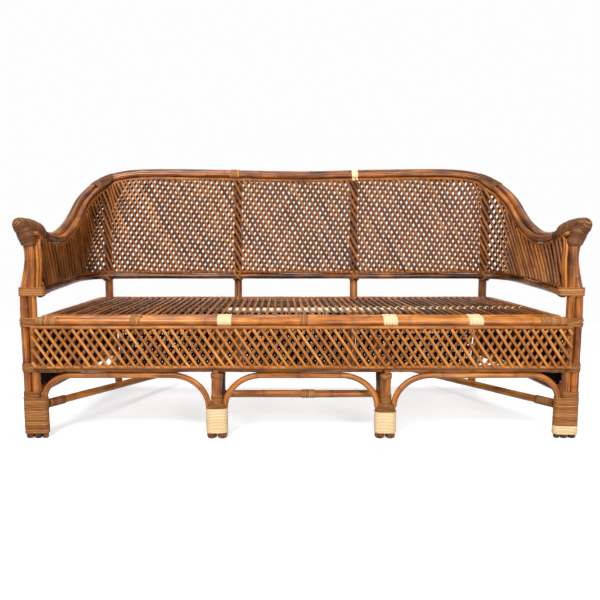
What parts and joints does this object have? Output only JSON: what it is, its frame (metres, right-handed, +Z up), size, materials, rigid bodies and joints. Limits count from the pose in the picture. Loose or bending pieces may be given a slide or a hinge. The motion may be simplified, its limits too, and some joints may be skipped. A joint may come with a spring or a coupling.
{
  "type": "rattan garden sofa",
  "caption": "Three-seat rattan garden sofa with curved arms, a lattice back and aprons, arched bracing and an open slatted seat deck.",
  "frame": {"origin": "on the floor, under the middle of the sofa's own box", "axes": "+X along the seat to the sitter's left, +Y from the front towards the back, +Z up"},
  "size_m": [1.865, 0.7758, 0.9773],
  "materials": {
    "pole_rattan": "honey-brown lacquered rattan poles with darker nodes and streaks",
    "slat_rattan": "lighter satin rattan rods of the lattices and the seat deck",
    "foot_rattan": "dark worn rattan at the feet",
    "brown_cane": "aged brown cane binding, matt",
    "pale_cane": "pale natural cane binding, newer than the rest, matt"
  },
  "bodies": {
    "root": {"arm_tip_binding_left": "brown_cane", "arm_tip_binding_right": "brown_cane", "back_and_arm_lattice": "slat_rattan", "deck_bearer_left": "pole_rattan", "deck_bearer_right": "pole_rattan", "diagonal_stretcher_left": "pole_rattan", "diagonal_stretcher_right": "pole_rattan", "front_apron_lattice": "slat_rattan", "front_arch_center": "pole_rattan", "front_arch_left": "pole_rattan", "front_arch_right": "pole_rattan", "front_bottom_rail": "pole_rattan", "front_foot_binding_left": "brown_cane", "front_foot_binding_right": "brown_cane", "front_leg_left_inner": "pole_rattan", "front_leg_left_outer": "pole_rattan", "front_leg_right_inner": "pole_rattan", "front_leg_right_outer": "pole_rattan", "front_seat_bearer": "pole_rattan", "front_seat_rail": "pole_rattan", "lower_back_rail": "pole_rattan", "middle_brace_left": "pole_rattan", "middle_brace_right": "pole_rattan", "middle_foot_binding_left": "pale_cane", "middle_foot_binding_right": "pale_cane", "middle_foot_left_inner": "foot_rattan", "middle_foot_left_outer": "foot_rattan", "middle_foot_right_inner": "foot_rattan", "middle_foot_right_outer": "foot_rattan", "middle_post_left": "pole_rattan", "middle_post_right": "pole_rattan", "middle_riser_left": "pole_rattan", "middle_riser_right": "pole_rattan", "middle_stretcher": "pole_rattan", "rear_corner_post_left": "pole_rattan", "rear_corner_post_right": "pole_rattan", "rear_low_rail": "pole_rattan", "rear_middle_post_left": "pole_rattan", "rear_middle_post_right": "pole_rattan", "rear_seat_rail": "pole_rattan", "rear_skirt_lattice_center": "slat_rattan", "rear_skirt_lattice_left": "slat_rattan", "rear_skirt_lattice_right": "slat_rattan", "seat_cross_pole_front": "pole_rattan", "seat_cross_pole_rear": "pole_rattan", "seat_slat_deck": "slat_rattan", "side_apron_lattice_left": "slat_rattan", "side_apron_lattice_right": "slat_rattan", "side_bottom_rail_left": "pole_rattan", "side_bottom_rail_right": "pole_rattan", "side_seat_rail_left": "pole_rattan", "side_seat_rail_right": "pole_rattan", "top_rail_inner": "pole_rattan", "top_rail_outer": "pole_rattan"}
  },
  "joints": []
}
